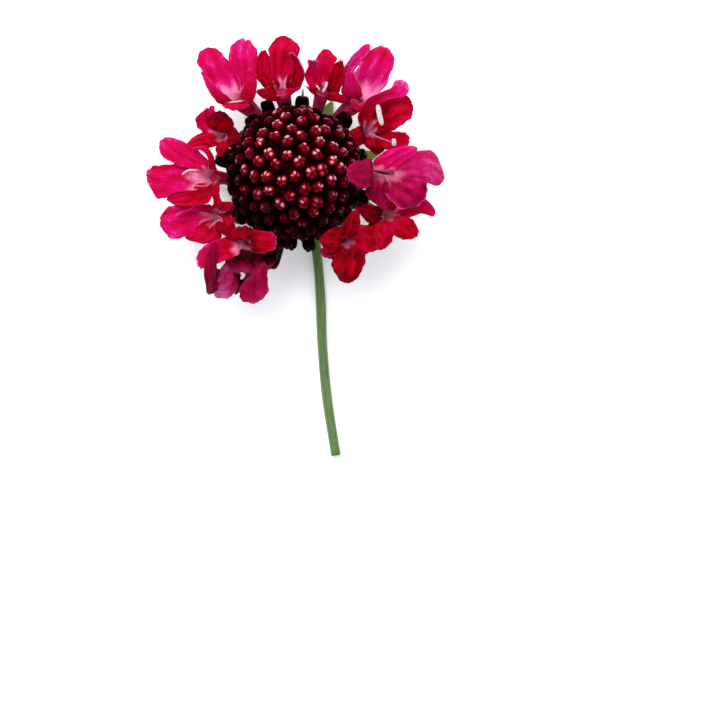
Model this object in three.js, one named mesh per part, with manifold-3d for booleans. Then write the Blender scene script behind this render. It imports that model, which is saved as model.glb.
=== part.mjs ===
// A single cut scabiosa (pincushion flower), lying on a surface with its face up.
// The head is half open: a dome of closed buds in the middle, a rim of larger dark buds below
// it, one ring of open ray florets with five unequal petals each, and green bracts underneath.
// The stem bends at the neck and lies along the surface.
// Units are millimetres, +Z is up, and the surface is the plane z = 0.
import * as THREE from "three";
import { mergeVertices } from "three/addons/utils/BufferGeometryUtils.js";
import Module from "manifold-3d";

const wasm = await Module();
wasm.setup();

// ---------- driving dimensions ----------
const HEAD_TILT = 7; // degrees that the head's axis leans towards +Y
const HEAD_BASE_HEIGHT = 7; // the underside of the receptacle above the surface
const PETAL_THICKNESS = 0.45;

const STEM_RADIUS = 0.95;
const STEM_SIDES = 8;
const STEM_STEPS = 20;
// The stem's centreline from the neck to the cut end, x and y from the head's axis.
const STEM_ROUTE = [
  [0, 0, HEAD_BASE_HEIGHT + 1],
  [0.2, -0.6, HEAD_BASE_HEIGHT - 1.9],
  [1.1, -3.1, 2.4],
  [2.5, -7.4, 1.15],
  [3.7, -13, STEM_RADIUS],
  [4.4, -21, STEM_RADIUS],
  [4.8, -31, STEM_RADIUS],
  [5.7, -41, STEM_RADIUS],
  [7.4, -52, STEM_RADIUS],
];

// Radius and height of the receptacle, the swollen end of the stem that carries the florets.
const RECEPTACLE_PROFILE = [
  [0, 0], [1.3, 0], [3.1, 0.8], [4.4, 2.4], [4.6, 4.6], [3.5, 7.1], [0, 8.3],
];
const RECEPTACLE_SIDES = 12;

const DOME_RADIUS = 12.3; // of the middles of the bud tips
const DOME_RISE = 10.6;
const DOME_CENTRE_HEIGHT = 6.3;
const DISC_BUD_COUNT = 110;
const DISC_BUD_REACH = 74; // degrees from the axis to the lowest whorl of closed buds
const GOLDEN_ANGLE = 180 * (3 - Math.sqrt(5));
// Radius and height of one closed bud, from its foot inside the disc to its tip.
const DISC_BUD_PROFILE = [[0, -3], [1.25, -0.3], [0, 1]];
const DISC_BUD_SIDES = 5;
// The crowded feet of the buds, a thick shell around the receptacle.
const DISC_CORE_PROFILE = [
  [0, 8.7], [3.8, 7.4], [5, 4.8], [9, 7.6], [9.7, 9.4], [8.3, 12.6], [4.8, 14.8], [0, 15.6],
];
const DISC_CORE_SIDES = 16;

// Radius and length of one dark rim bud, from its narrow foot to its tip.
const RIM_BUD_PROFILE = [[0, 0], [0.5, 0], [0.6, 4.6], [1.4, 7.6], [1, 9.6], [0, 10.2]];
const RIM_BUD_SIDES = 6;
const RIM_BUD_FOOT = { radius: 4.85, height: 3.2 };
const RIM_BUD_PITCH = 20; // degrees above the head's own horizontal
const RIM_BUD_AZIMUTHS = [17, 47, 62, 85, 112, 132, 166, 192, 217, 281, 296, 321, 342];
// One rim bud that hangs lower and further out, about to open.
const OPENING_BUD = { azimuth: 254, pitch: 10, scale: 1.3 };

const TUBE_SIDES = 6;
const TUBE_STEPS = 3;
const TUBE_FOOT = { radius: 4.58, height: 1.8, thickness: 0.6 };
const TUBE_FLAT_REACH = 11; // the tube runs out level this far before it turns up
const THROAT_RADIUS = 1.3;
const THROAT_DEPTH = 1.6;
const LOBE_COLUMNS = 2;
const LOBE_ROWS = 3;
const LOBE_BASE_SHARE = 0.38; // width at the throat as a share of the full width
const LOBE_WIDEST = 0.68; // share of the length at which a lobe is widest
const LOBE_TIP_SHARE = 0.78; // width at the corners of the round tip
const LOBE_CUP = 0.16; // how far the edges rise, as a share of the half width
const LOBE_START = 0.6; // where a lobe leaves the throat, as a share of the throat's radius
const LOBE_ROUND = 0.9; // 1 would bring the corners of the tip back to a full half circle

// Each ray floret: its throat (x, y from the head's axis, height), the degrees that its foot is
// turned about that axis from there, if any, and its five petal lobes. A lobe is the place of its
// tip from the throat (x, y, z), its full width, its roll in degrees about its own length (positive
// lifts its left edge), its arch and its sideways sweep.
const RAY_FLORETS = [
  {
    throat: [15.7, 0.2, 10.6],
    lobes: [
      [11.9, -0.2, -1.2, 7.4, 0, 1.0, 0], [6.9, 4.6, 0.5, 4.2, 12, 0.4, 0.6],
      [8.3, -5.6, 0.1, 6.8, -8, 0.5, 0], [0.2, -6.7, 0.2, 4.8, 0, 0.4, 0],
      [-6.0, -0.4, 3.9, 5.0, 0, 0.3, 0],
    ],
  },
  {
    throat: [13.2, 8.0, 7.6],
    lobes: [
      [8.7, 3.9, -0.6, 6.6, 0, 0.6, 0], [6.9, 9.5, 2.0, 4.0, 25, 0.6, 1.8],
      [8.2, -1.9, -0.8, 3.8, -15, 0.5, 0], [2.4, -4.2, -0.4, 3.8, 0, 0.3, 0],
      [-3.1, -1.6, 1.6, 2.6, 0, 0.3, 0],
    ],
  },
  {
    throat: [11.4, 13.9, 6.4], turn: 9,
    lobes: [
      [6.6, 9.3, -0.2, 7.8, -5, 0.7, 0], [0.9, 10.3, 2.0, 3.6, 35, 0.5, 1.3],
      [-1.5, 4.3, 3.4, 4.2, 20, -0.4, 0], [2.6, -0.8, 1.6, 2.4, -20, 0.2, 0],
      [-1.6, -1.4, 1.6, 2.2, 0, 0.2, 0],
    ],
  },
  {
    throat: [5.0, 15.0, 8.4],
    lobes: [
      [0.9, 8.5, 0.2, 5.6, 0, 0.4, 0], [-2.2, 6.4, 1.2, 3.4, 25, 0.3, 0.3],
      [3.8, 5.6, 1.4, 3.4, -40, 0.3, 0], [4.3, -1.2, 1.2, 2.6, 0, 0.5, 0],
      [-2.8, 0.8, 0.6, 2.0, 0, 0.2, 0],
    ],
  },
  {
    throat: [-2.8, 15.3, 8.0],
    lobes: [
      [0.8, 10.5, -0.2, 6.8, 0, 0.5, 0], [-3.4, 7.7, 1.2, 3.8, 30, 0.4, 0.3],
      [3.6, 6.9, 2.0, 4.4, -50, 0.3, -0.6], [-4.2, -0.4, 0.2, 2.8, 15, 0.3, 0],
      [3.7, 0.6, 0.8, 2.4, -20, 0.2, 0],
    ],
  },
  {
    throat: [-10.3, 13.9, 7.2], turn: -9,
    lobes: [
      [-7.7, 9.1, -0.3, 7.2, 8, 0.6, 0], [0.5, 11.7, 0.2, 6.4, -5, 0.5, 0],
      [-6.8, 3.9, 1.6, 3.4, 58, 0.3, 0.5], [2.2, 4.3, 2.6, 3.2, -50, 0.3, -0.3],
      [-0.9, -2.7, 2.0, 4.8, 0, -0.2, 0],
    ],
  },
  {
    throat: [-14.0, 6.6, 8.8],
    lobes: [
      [-2.9, 5.3, 0.8, 5.0, 10, 0.8, 0], [-5.6, -1.3, 0.3, 3.2, 0, 0.4, 0],
      [0.3, -3.5, 0.8, 2.6, 0, 0.4, 0], [1.6, 3.9, 2.2, 3.8, -30, 0.4, 0],
      [2.4, 0.6, 1.8, 2.0, 0, 0.2, 0],
    ],
  },
  {
    throat: [-15.4, -0.5, 9.6],
    lobes: [
      [-11.8, -0.6, -1.0, 6.6, 0, 0.9, 0], [-9.3, 5.9, -0.2, 5.4, 8, 0.6, 0],
      [-7.5, -4.6, 0.2, 4.6, -20, 0.5, 0], [-0.9, 5.1, 1.0, 2.0, 0, 0.4, -0.3],
      [1.3, -5.0, 1.0, 2.0, 0, 0.4, 0.3],
    ],
  },
  {
    throat: [-15.0, -8.4, 6.4],
    lobes: [
      [-10.2, 0.4, -0.6, 7.2, 0, 0.6, 0], [-7.6, 4.0, 0.2, 3.4, 0, 0.4, 0],
      [-3.2, -4.4, -0.2, 6.2, 0, 0.4, 0], [2.8, -3.2, 0.4, 3.4, 0, 0.3, 0],
      [2.2, 1.6, 1.2, 2.0, 0, 0.2, 0],
    ],
  },
  {
    throat: [-9.4, -12.6, 9.8],
    lobes: [
      [-8.8, -3.6, -0.8, 4.8, 0, 0.7, 0], [6.2, -0.4, 0.8, 4.6, 0, 0.4, 0],
      [-3.6, -4.4, -0.4, 3.8, 0, 0.5, 0], [-1.9, 4.0, 1.4, 2.2, 0, 0.4, 0],
      [2.6, -2.8, 0, 3.0, 0, 0.3, 0],
    ],
  },
  {
    throat: [-10.0, -18.5, 3.4], turn: 8,
    lobes: [
      [0.8, -5.8, -1.4, 6.0, 0, 0.5, 0], [-5.4, -3.4, -1.0, 5.0, 0, 0.4, 0],
      [4.8, -2.8, -1.0, 5.0, 0, 0.4, 0], [-3.6, 1.6, 0.2, 3.0, 0, 0.3, 0],
      [3.2, 2.2, 0.6, 3.0, 0, 0.3, 0],
    ],
  },
  {
    throat: [9.2, -13.2, 8.6],
    lobes: [
      [2.8, -7.4, -0.6, 5.8, 0, 0.6, 0], [-4.4, 0.2, 0.8, 4.4, 0, 0.4, 0],
      [5.6, -3.0, -0.4, 4.4, 0, 0.4, 0], [-2.4, -4.6, 0, 4.2, 0, 0.4, 0],
      [1.0, 5.4, 1.4, 3.2, 0, 0.4, 0],
    ],
  },
  {
    throat: [16.2, -7.8, 6.2],
    lobes: [
      [9.4, 0.6, -0.8, 4.4, 0, 0.5, 0], [5.6, 3.0, -0.4, 3.0, 0, 0.3, 0],
      [5.0, -3.8, -0.4, 4.2, 0, 0.4, 0], [0.2, -4.6, 0, 3.6, 0, 0.3, 0],
      [-4.4, 0.2, 1.0, 2.6, 0, 0.3, 0],
    ],
  },
];

const BRACT_THICKNESS = 0.5;
const BRACT_FOOT_RADIUS = 2.5;
const BRACT_COLUMNS = 2;
const BRACT_ROWS = 5;
const BRACT_ARCH = { share: 0.52, drop: 0.6 }; // where along its reach it turns down, and how soon
const BRACT_FOOT_PHASE = 0.14; // how far into its outline a blade begins
const BRACT_FULLNESS = 1.15; // above 1 the widest place lies further out
const BRACT_LEAST_SHARE = 0.12; // width at the blunt tip as a share of the full width
const BRACT_CUP = 0.12;
// Each bract: azimuth in degrees, distance of its tip from the head's axis, full width, and the
// height of its tip above the surface. Those at height 0 rest on it and carry the head.
const BRACTS = [
  [20, 17.6, 4.0, 5.6], [67.5, 17.6, 2.6, 0], [86, 17.6, 2.0, 6.4], [128, 16.6, 3.1, 0], [177, 17.2, 2.6, 0],
  [208, 15.0, 3.0, 0], [246, 17, 3.0, 0], [318, 16.2, 3.2, 0], [345, 15.6, 2.6, 0],
];

// ---------- materials ----------
const surface = (hex, roughness) =>
  new THREE.MeshStandardMaterial({ color: hex, roughness, metalness: 0 });
const STEM_GREEN = surface(0x5f8a34, 0.6);
const BRACT_GREEN = surface(0x5a8c30, 0.6);
const BUD_MAROON = surface(0x5c0a18, 0.35);
const RIM_MAROON = surface(0x24040a, 0.5);
const PETAL_CRIMSON = surface(0xc80f48, 0.5);

// ---------- solids ----------
function toSolid(geometry) {
  const bare = geometry.index ? geometry : geometry.clone();
  bare.deleteAttribute("normal");
  bare.deleteAttribute("uv");
  const merged = mergeVertices(bare, 1e-4);
  return new wasm.Manifold(
    new wasm.Mesh({
      numProp: 3,
      vertProperties: merged.attributes.position.array,
      triVerts: new Uint32Array(merged.index.array),
    }),
  );
}

function toGeometry(solid) {
  const mesh = solid.getMesh();
  const geometry = new THREE.BufferGeometry();
  geometry.setAttribute("position", new THREE.BufferAttribute(mesh.vertProperties, 3));
  geometry.setIndex(new THREE.BufferAttribute(mesh.triVerts, 1));
  geometry.computeVertexNormals();
  return geometry;
}

const joined = (geometries) =>
  toGeometry(geometries.map(toSolid).reduce((whole, piece) => whole.add(piece)));

function piece(name, geometry, material) {
  const mesh = new THREE.Mesh(geometry, material);
  mesh.name = name;
  return mesh;
}

// Moves every vertex of a geometry to where place(vertex) says.
function warp(geometry, place) {
  const position = geometry.attributes.position;
  const vertex = new THREE.Vector3();
  for (let i = 0; i < position.count; i++) {
    vertex.fromBufferAttribute(position, i);
    const to = place(vertex);
    position.setXYZ(i, to.x, to.y, to.z);
  }
  return geometry;
}

// A solid of revolution about +Z from [radius, height] pairs.
function turned(profile, sides) {
  const points = profile.map(([radius, height]) => new THREE.Vector2(radius, height));
  return new THREE.LatheGeometry(points, sides).rotateX(Math.PI / 2);
}

const radians = THREE.MathUtils.degToRad;
const UP = new THREE.Vector3(0, 0, 1);
const onCircle = (azimuth, radius, height) =>
  new THREE.Vector3(radius * Math.cos(radians(azimuth)), radius * Math.sin(radians(azimuth)), height);

const number = (i) => String(i + 1).padStart(2, "0");

// Turns a geometry made along +Z to lie along a direction, with its foot at a point.
function aimed(geometry, direction, foot) {
  const turn = new THREE.Quaternion().setFromUnitVectors(UP, direction.clone().normalize());
  return geometry.applyQuaternion(turn).translate(foot.x, foot.y, foot.z);
}

// ---------- disc of closed buds ----------
function discBuds() {
  const shapes = [turned(DISC_CORE_PROFILE, DISC_CORE_SIDES)];
  const lowest = 1 - Math.cos(radians(DISC_BUD_REACH));
  for (let i = 0; i < DISC_BUD_COUNT; i++) {
    const fromAxis = Math.acos(1 - (lowest * (i + 0.5)) / DISC_BUD_COUNT);
    const outward = onCircle(GOLDEN_ANGLE * i, Math.sin(fromAxis), Math.cos(fromAxis));
    const tip = new THREE.Vector3(
      outward.x * DOME_RADIUS,
      outward.y * DOME_RADIUS,
      DOME_CENTRE_HEIGHT + outward.z * DOME_RISE,
    );
    shapes.push(aimed(turned(DISC_BUD_PROFILE, DISC_BUD_SIDES), outward, tip));
  }
  return piece("disc_buds", joined(shapes), BUD_MAROON);
}

function rimBud(name, azimuth, pitch, scale) {
  const shape = turned(RIM_BUD_PROFILE, RIM_BUD_SIDES).scale(scale, scale, scale);
  const direction = onCircle(azimuth, Math.cos(radians(pitch)), Math.sin(radians(pitch)));
  const foot = onCircle(azimuth, RIM_BUD_FOOT.radius, RIM_BUD_FOOT.height);
  return piece(name, aimed(shape, direction, foot), RIM_MAROON);
}

// ---------- ray florets ----------
// A point of a petal lobe: across from -1 to 1, along from 0 at the throat to 1 at the tip, and
// lift above its middle surface.
function lobePoint(lobe, throat, across, along, lift) {
  const [x, y, z, width, roll, arch, sweep] = lobe;
  const heading = new THREE.Vector3(x, y, 0).normalize();
  const left = UP.clone().cross(heading);
  const start = throat.clone().addScaledVector(heading, THROAT_RADIUS * LOBE_START);
  const end = throat.clone().add(new THREE.Vector3(x, y, z));
  const middle = start.clone().lerp(end, 0.5)
    .addScaledVector(UP, 2 * arch)
    .addScaledVector(left, 2 * sweep);
  const spine = new THREE.QuadraticBezierCurve3(start, middle, end);
  const tangent = spine.getTangent(along);
  const up = tangent.clone().cross(left).normalize();
  const turn = radians(roll) * Math.min(1, along * 2);
  const side = left.clone().multiplyScalar(Math.cos(turn)).addScaledVector(up, Math.sin(turn));
  const normal = up.clone().multiplyScalar(Math.cos(turn)).addScaledVector(left, -Math.sin(turn));
  const half = (width / 2) * lobeWidth(along);
  const roundness = along * along * (1 - Math.sqrt(1 - LOBE_ROUND * across * across));
  return spine.getPoint(along)
    .addScaledVector(side, across * half)
    .addScaledVector(tangent, (-roundness * width) / 2)
    .addScaledVector(normal, lift + LOBE_CUP * half * across * across);
}

function lobeWidth(along) {
  if (along <= LOBE_WIDEST) {
    const opening = Math.sin((Math.PI / 2) * (along / LOBE_WIDEST));
    return LOBE_BASE_SHARE + (1 - LOBE_BASE_SHARE) * opening;
  }
  const past = (along - LOBE_WIDEST) / (1 - LOBE_WIDEST);
  return 1 - (1 - LOBE_TIP_SHARE) * past * past;
}

function lobeShape(lobe, throat) {
  const slab = new THREE.BoxGeometry(2, 1, PETAL_THICKNESS, LOBE_COLUMNS, LOBE_ROWS, 1);
  return warp(slab, (v) => lobePoint(lobe, throat, -v.x, v.y + 0.5, v.z));
}

// The tube leaves the receptacle nearly level and turns up to the throat, where it opens.
function tubeShape(throat, turn) {
  const azimuth = THREE.MathUtils.radToDeg(Math.atan2(throat.y, throat.x));
  const foot = onCircle(azimuth + turn, TUBE_FOOT.radius, TUBE_FOOT.height);
  const bend = onCircle(azimuth + turn / 2, TUBE_FLAT_REACH, TUBE_FOOT.height);
  const spine = new THREE.QuadraticBezierCurve3(foot, bend, throat);
  const left = UP.clone().cross(onCircle(azimuth, 1, 0));
  const tube = new THREE.CylinderGeometry(1, 1, 1, TUBE_SIDES, TUBE_STEPS);
  return warp(tube, (v) => {
    const along = v.y + 0.5;
    const tangent = spine.getTangent(along);
    const normal = tangent.clone().cross(left);
    const radius = THREE.MathUtils.lerp(TUBE_FOOT.thickness, THROAT_RADIUS, along * along);
    const onThroatAxis = along === 1 && v.x === 0 && v.z === 0;
    return spine.getPoint(along)
      .addScaledVector(left, v.x * radius)
      .addScaledVector(normal, -v.z * radius)
      .addScaledVector(tangent, onThroatAxis ? -THROAT_DEPTH : 0);
  });
}

function rayFloret({ throat, turn = 0, lobes }, i) {
  const place = new THREE.Vector3(...throat);
  const shapes = [tubeShape(place, turn), ...lobes.map((lobe) => lobeShape(lobe, place))];
  return piece("ray_floret_" + number(i), joined(shapes), PETAL_CRIMSON);
}

// ---------- bracts and stem ----------
// A bract leaves the neck just under the receptacle and arches outward to its tip.
function bract([azimuth, reach, width, tipHeight], i, head) {
  const outward = onCircle(azimuth, 1, 0);
  const left = UP.clone().cross(outward);
  const foot = onCircle(azimuth, BRACT_FOOT_RADIUS, 0).applyMatrix4(head.matrix);
  const tip = outward.clone().multiplyScalar(reach).setZ(tipHeight + BRACT_THICKNESS / 2);
  const over = outward.clone().multiplyScalar(reach * BRACT_ARCH.share).setZ(foot.z - BRACT_ARCH.drop);
  const spine = new THREE.QuadraticBezierCurve3(foot, over, tip);
  const blade = new THREE.BoxGeometry(2, 1, BRACT_THICKNESS, BRACT_COLUMNS, BRACT_ROWS, 1);
  const shape = warp(blade, (v) => {
    const along = v.y + 0.5;
    const normal = spine.getTangent(along).cross(left).normalize();
    const phase = BRACT_FOOT_PHASE + (1 - BRACT_FOOT_PHASE) * along;
    const share = Math.max(BRACT_LEAST_SHARE, Math.sin(Math.PI * phase ** BRACT_FULLNESS));
    const half = (width / 2) * share;
    const place = spine.getPoint(along)
      .addScaledVector(left, -v.x * half)
      .addScaledVector(normal, v.z + BRACT_CUP * half * v.x * v.x);
    return place.setZ(Math.max(0, place.z));
  });
  return piece("bract_" + number(i), shape, BRACT_GREEN);
}

function stem(head) {
  const section = new THREE.Shape().absarc(0, 0, STEM_RADIUS, 0, 2 * Math.PI);
  const route = new THREE.CatmullRomCurve3(STEM_ROUTE.map((p) => new THREE.Vector3(...p)));
  const rod = new THREE.ExtrudeGeometry(section, {
    steps: STEM_STEPS,
    curveSegments: STEM_SIDES,
    bevelEnabled: false,
    extrudePath: route,
  });
  const receptacle = turned(RECEPTACLE_PROFILE, RECEPTACLE_SIDES).applyMatrix4(head.matrix);
  return piece("stem", joined([rod, receptacle]), STEM_GREEN);
}

// ---------- assembly ----------
const head = new THREE.Group();
head.position.z = HEAD_BASE_HEIGHT;
head.rotation.x = -radians(HEAD_TILT);
head.updateMatrix();
head.add(discBuds());
RIM_BUD_AZIMUTHS.forEach((azimuth, i) =>
  head.add(rimBud("rim_bud_" + number(i), azimuth, RIM_BUD_PITCH, 1)),
);
head.add(rimBud("opening_bud", OPENING_BUD.azimuth, OPENING_BUD.pitch, OPENING_BUD.scale));
RAY_FLORETS.forEach((floret, i) => head.add(rayFloret(floret, i)));

const flower = new THREE.Group();
flower.add(head, stem(head));
BRACTS.forEach((leaf, i) => flower.add(bract(leaf, i, head)));

// The origin is on the surface, under the middle of the flower's outline.
const outline = new THREE.Box3().setFromObject(flower, true);
const middle = outline.getCenter(new THREE.Vector3());
flower.position.set(-middle.x, -middle.y, -outline.min.z);

export default flower;
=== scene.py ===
"""Looks of a cut scabiosa flower that lies face up on a pale surface (Blender 4.5).

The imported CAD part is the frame. Each of its nodes is replaced by a finer mesh in the same
place: petals with folds and notched edges, closed buds with swollen lobes, leafy bracts, a ribbed
stem. Shapes are worked out in millimetres in the head's own frame, where +Z is the head's axis,
and turned into the row's frame in metres by one matrix.
"""

import math
from dataclasses import dataclass

import bmesh
import bpy
import numpy as np
from mathutils import Matrix, Vector


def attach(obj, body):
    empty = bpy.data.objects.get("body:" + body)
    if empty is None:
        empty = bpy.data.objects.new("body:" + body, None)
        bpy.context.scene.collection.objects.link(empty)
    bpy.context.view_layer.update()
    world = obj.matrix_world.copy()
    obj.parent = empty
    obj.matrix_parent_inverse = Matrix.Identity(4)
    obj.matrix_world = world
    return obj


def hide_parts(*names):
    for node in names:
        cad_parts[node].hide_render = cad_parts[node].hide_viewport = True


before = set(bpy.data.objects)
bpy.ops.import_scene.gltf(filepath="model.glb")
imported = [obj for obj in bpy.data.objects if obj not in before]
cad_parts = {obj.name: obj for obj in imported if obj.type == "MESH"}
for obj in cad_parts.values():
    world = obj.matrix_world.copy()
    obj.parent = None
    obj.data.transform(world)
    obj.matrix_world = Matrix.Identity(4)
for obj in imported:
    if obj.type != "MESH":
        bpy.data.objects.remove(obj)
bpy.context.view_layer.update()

# ---------- the frame's own dimensions, millimetres and degrees ----------
MM = 0.001
HEAD_TILT = 7
HEAD_BASE_HEIGHT = 7
AXIS_FOOT = (-0.20, 12.76)  # where the head's axis meets the surface, in the row's frame
HEAD_TURN = Matrix.Rotation(-math.radians(HEAD_TILT), 4, "X")
FLAT_TO_ROW = Matrix.Scale(MM, 4) @ Matrix.Translation((*AXIS_FOOT, 0))
HEAD_TO_ROW = Matrix.Scale(MM, 4) @ Matrix.Translation((*AXIS_FOOT, HEAD_BASE_HEIGHT)) @ HEAD_TURN
UP = np.array([0.0, 0.0, 1.0])
FULL_TURN = 2 * math.pi
GOLDEN_ANGLE = math.pi * (3 - math.sqrt(5))
# Where each kind of piece starts its random draws.
SEEDS = dict(disc=7, floret=100, rim=200, extra_rim=240, opening=250, bract=300)


# ---------- small helpers ----------
LIGHT_LEVEL = 1.62  # what a white surface facing up sends back


def seen(red, green, blue):
    """The base colour of a surface that looks like this sRGB colour under the studio light."""
    shares = np.array([red, green, blue]) / 255
    linear = np.where(shares <= 0.04045, shares / 12.92, ((shares + 0.055) / 1.055) ** 2.4)
    return tuple((linear / LIGHT_LEVEL).tolist())


def unit(v):
    return v / np.maximum(np.linalg.norm(v, axis=-1, keepdims=True), 1e-9)


def on_circle(azimuth, radius, height):
    """A point at an azimuth in radians."""
    return np.array([radius * math.cos(azimuth), radius * math.sin(azimuth), height])


def smoothstep(low, high, x):
    t = np.clip((x - low) / (high - low), 0, 1)
    return t * t * (3 - 2 * t)


def bump(x, centre, width):
    return np.exp(-(((x - centre) / width) ** 2))


def all_round(count):
    """The angles of a full turn, as one row."""
    return np.linspace(0, FULL_TURN, count, endpoint=False)[None, :]


def stacked(*fields):
    """Fields of rows, of columns or of both, as one grid of points or of UV pairs."""
    return np.stack(np.broadcast_arrays(*fields), axis=-1)


def turned(reach, angle, height):
    """A grid of points all round the Z axis."""
    return stacked(reach * np.cos(angle), reach * np.sin(angle), height)


def along(ways, reach):
    """Each row's direction, or one direction for all rows, times a grid of reaches."""
    return np.reshape(ways, (-1, 1, 3)) * reach[..., None]


def bezier(start, bend, end, t):
    """Points and unit tangents of a quadratic Bezier curve at parameters t."""
    t = t[:, None]
    place = (1 - t) ** 2 * start + 2 * (1 - t) * t * bend + t**2 * end
    return place, unit((1 - t) * (bend - start) + t * (end - bend))


def through(points, t):
    """A smooth curve through the points, at parameters t from 0 to 1."""
    points = np.asarray(points, float)
    padded = np.concatenate([[2 * points[0] - points[1]], points, [2 * points[-1] - points[-2]]])
    place = t * (len(points) - 1)
    span = np.minimum(place.astype(int), len(points) - 2)
    f = (place - span)[:, None]
    p0, p1, p2, p3 = (padded[span + k] for k in range(4))
    return 0.5 * (
        2 * p1 + (p2 - p0) * f + (2 * p0 - 5 * p1 + 4 * p2 - p3) * f**2
        + (3 * p1 - p0 - 3 * p2 + p3) * f**3
    )


def carried_frames(route):
    """Two directions across a route, carried along it without twisting."""
    tangent = unit(np.gradient(route, axis=0))
    side = unit(np.cross(tangent[0], [0.0, 1.0, 0.3]))
    sides = []
    for way in tangent:
        side = unit(side - way * np.dot(side, way))
        sides.append(side)
    return np.array(sides), np.cross(tangent, sides)


def new_object(name, data):
    made = bpy.data.objects.new(name, data)
    bpy.context.scene.collection.objects.link(made)
    return made


class Mesh:
    """Collects grids of points into one mesh, with a UV and named point values."""

    def __init__(self, *value_names):
        self.points, self.faces, self.uvs, self.slots = [], [], [], []
        self.values = {name: [] for name in value_names}

    def grid(self, points, uv, closed=False, cap_start=False, cap_end=False, slot=0, **values):
        """points is rows x columns x 3. closed joins the last column to the first."""
        rows, columns = points.shape[:2]
        start = sum(len(p) for p in self.points)
        self.points.append(points.reshape(-1, 3))
        for name, store in self.values.items():
            store.append(np.broadcast_to(values.get(name, 0.0), (rows, columns)).ravel())
        index = np.arange(rows * columns).reshape(rows, columns)
        wide = np.column_stack([index, index[:, 0]]) if closed else index
        corners = np.stack([wide[:-1, :-1], wide[:-1, 1:], wide[1:, 1:], wide[1:, :-1]], axis=-1)
        faces = list(corners.reshape(-1, 4))
        if cap_start:
            faces.append(index[0, ::-1])
        if cap_end:
            faces.append(index[-1])
        flat_uv = uv.reshape(-1, 2)
        self.faces += [(start + face).tolist() for face in faces]
        self.uvs += [flat_uv[face] for face in faces]
        self.slots += [slot] * len(faces)

    def body(self, points, uv, **values):
        """A grid that closes all round and has a cap at each end."""
        self.grid(points, uv, closed=True, cap_start=True, cap_end=True, **values)

    def build(self, name, materials, place=HEAD_TO_ROW, weld=False):
        data = bpy.data.meshes.new(name)
        points = np.concatenate(self.points) @ np.array(place.to_3x3()).T + np.array(place.translation)
        data.from_pydata(points.tolist(), [], self.faces)
        data.uv_layers.new(name="UVMap").data.foreach_set("uv", np.concatenate(self.uvs).ravel())
        for value_name, store in self.values.items():
            attribute = data.attributes.new(value_name, "FLOAT", "POINT")
            attribute.data.foreach_set("value", np.concatenate(store))
        data.polygons.foreach_set("material_index", self.slots)
        for material in materials:
            data.materials.append(material)
        work = bmesh.new()
        work.from_mesh(data)
        if weld:
            bmesh.ops.remove_doubles(work, verts=work.verts, dist=1e-7)
        for face in work.faces:
            face.smooth = True
        work.to_mesh(data)
        work.free()
        return new_object(name, data)


def thicken(piece, thickness):
    """Gives a sheet its thickness, with its underside in the next material slot."""
    modifier = piece.modifiers.new("thickness", "SOLIDIFY")
    modifier.thickness = thickness * MM
    modifier.offset = 0
    modifier.material_offset = 1
    graph = bpy.context.evaluated_depsgraph_get()
    data = bpy.data.meshes.new_from_object(piece.evaluated_get(graph))
    piece.modifiers.clear()
    piece.data = data


def settle(piece, slot, *nodes):
    """Every piece rides on the one body, and the frame's nodes that it replaces are hidden; slot is not used.
    """
    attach(piece, "root")
    if nodes:
        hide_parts(*nodes)


# ---------- materials ----------
class Field:
    """The output of a node. Arithmetic on it makes Math nodes."""

    def __init__(self, shader, socket):
        self.shader, self.socket = shader, socket

    def combined(self, operation, other):
        return self.shader.add("Math", {0: self, 1: other}, operation=operation)

    def __add__(self, other):
        return self.combined("ADD", other)

    def __sub__(self, other):
        return self.combined("SUBTRACT", other)

    def __mul__(self, other):
        return self.combined("MULTIPLY", other)


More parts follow.
